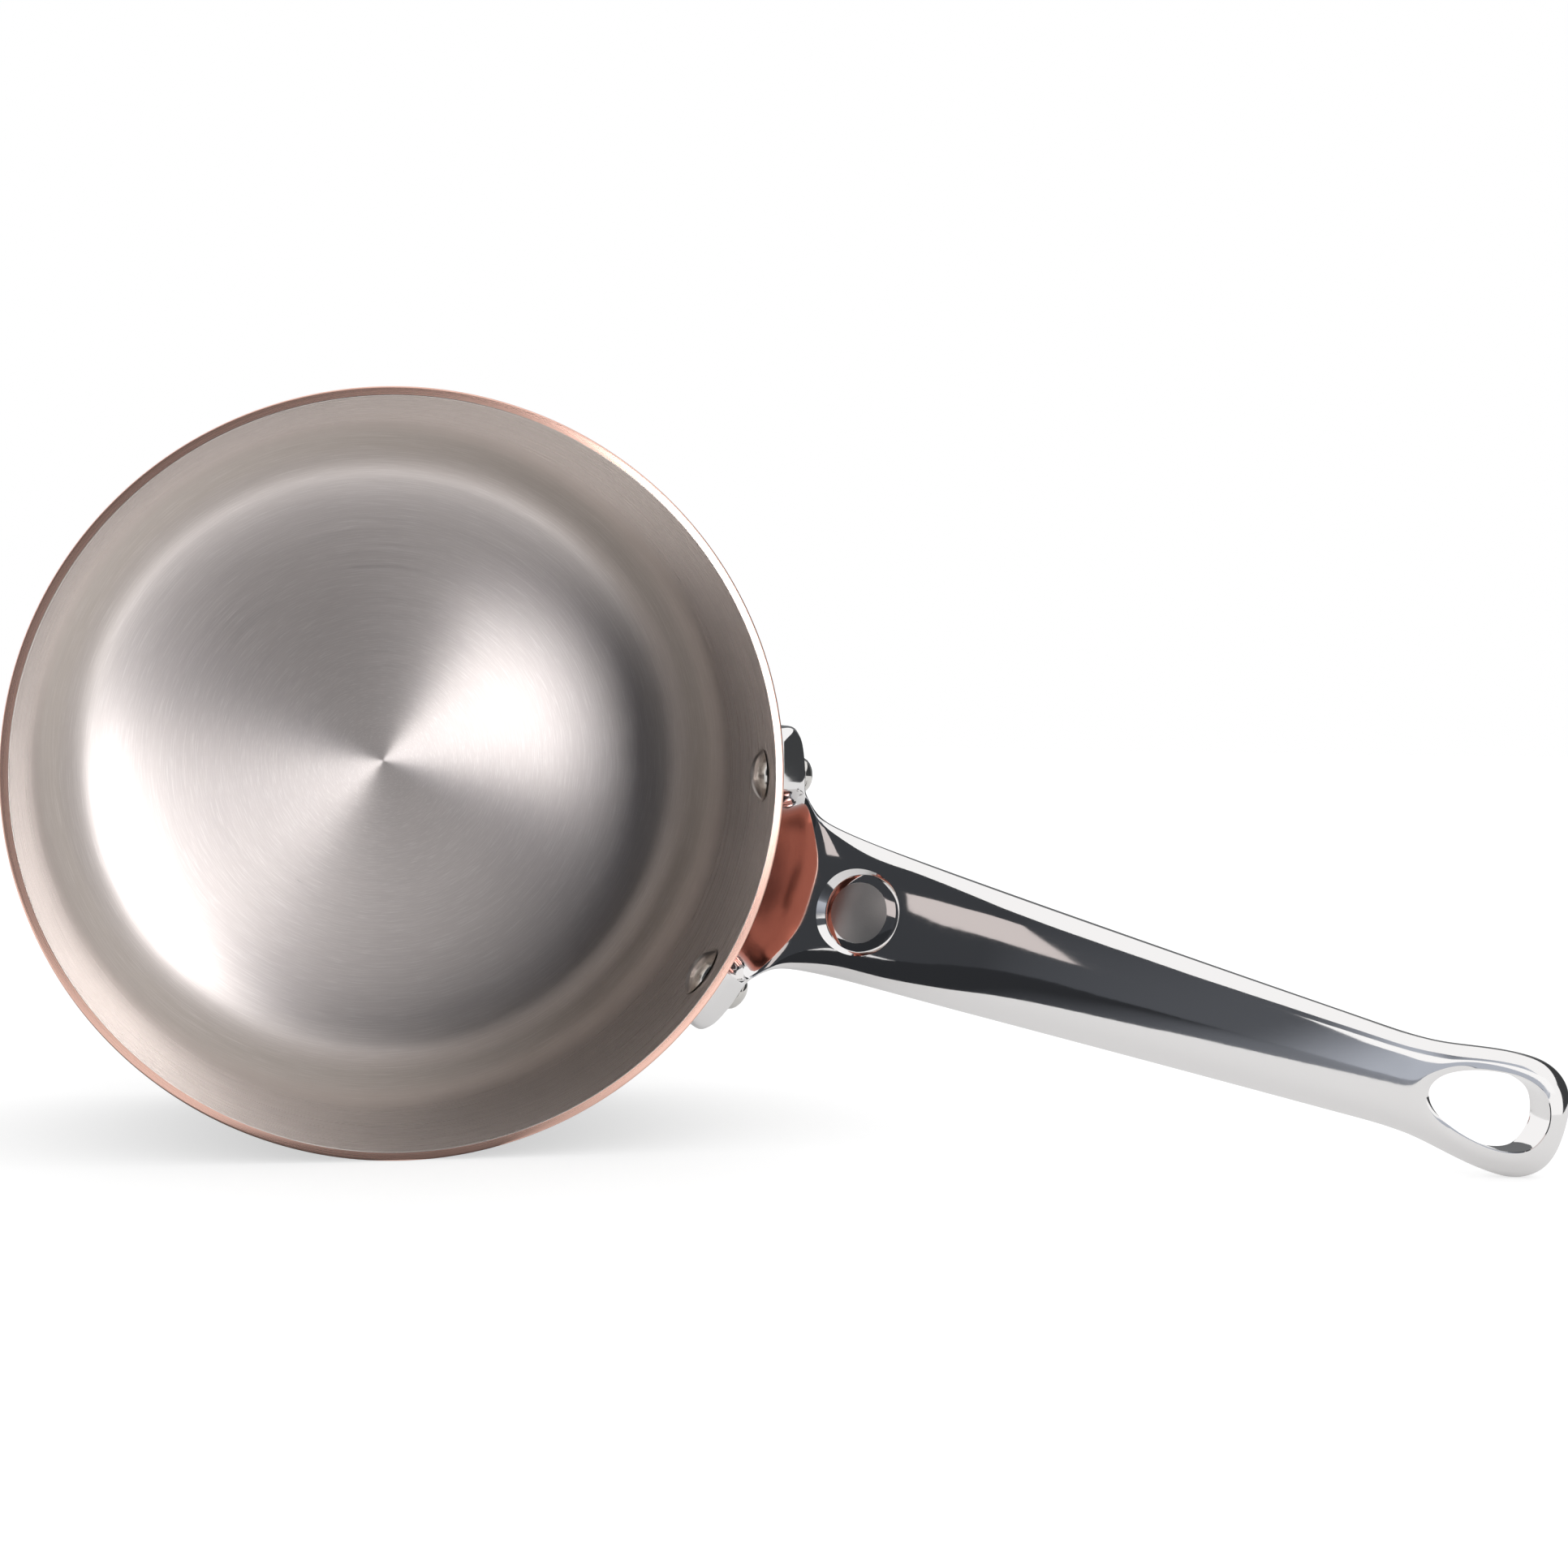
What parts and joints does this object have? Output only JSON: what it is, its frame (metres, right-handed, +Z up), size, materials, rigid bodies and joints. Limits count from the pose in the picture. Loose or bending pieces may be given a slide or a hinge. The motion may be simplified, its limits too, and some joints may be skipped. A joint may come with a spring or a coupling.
{
  "type": "copper saucepan",
  "caption": "Straight-walled copper saucepan with a steel lining and one long cast steel handle, riveted on and ending in a hanging loop.",
  "frame": {"origin": "centre of the flat base, on the surface that the pan stands on", "axes": "+Z up along the pot's axis, +X along the handle away from the pot, +Y to the left of the handle"},
  "size_m": [0.3396, 0.164, 0.1405],
  "materials": {
    "copper": "satin copper",
    "lining_steel": "circular brushed",
    "handle_steel": "mirror polished",
    "rivet_steel": "satin"
  },
  "bodies": {
    "root": {"copper_body": "copper", "steel_lining": "lining_steel", "handle": "handle_steel", "rivet_left": "rivet_steel", "rivet_right": "rivet_steel"}
  },
  "joints": []
}
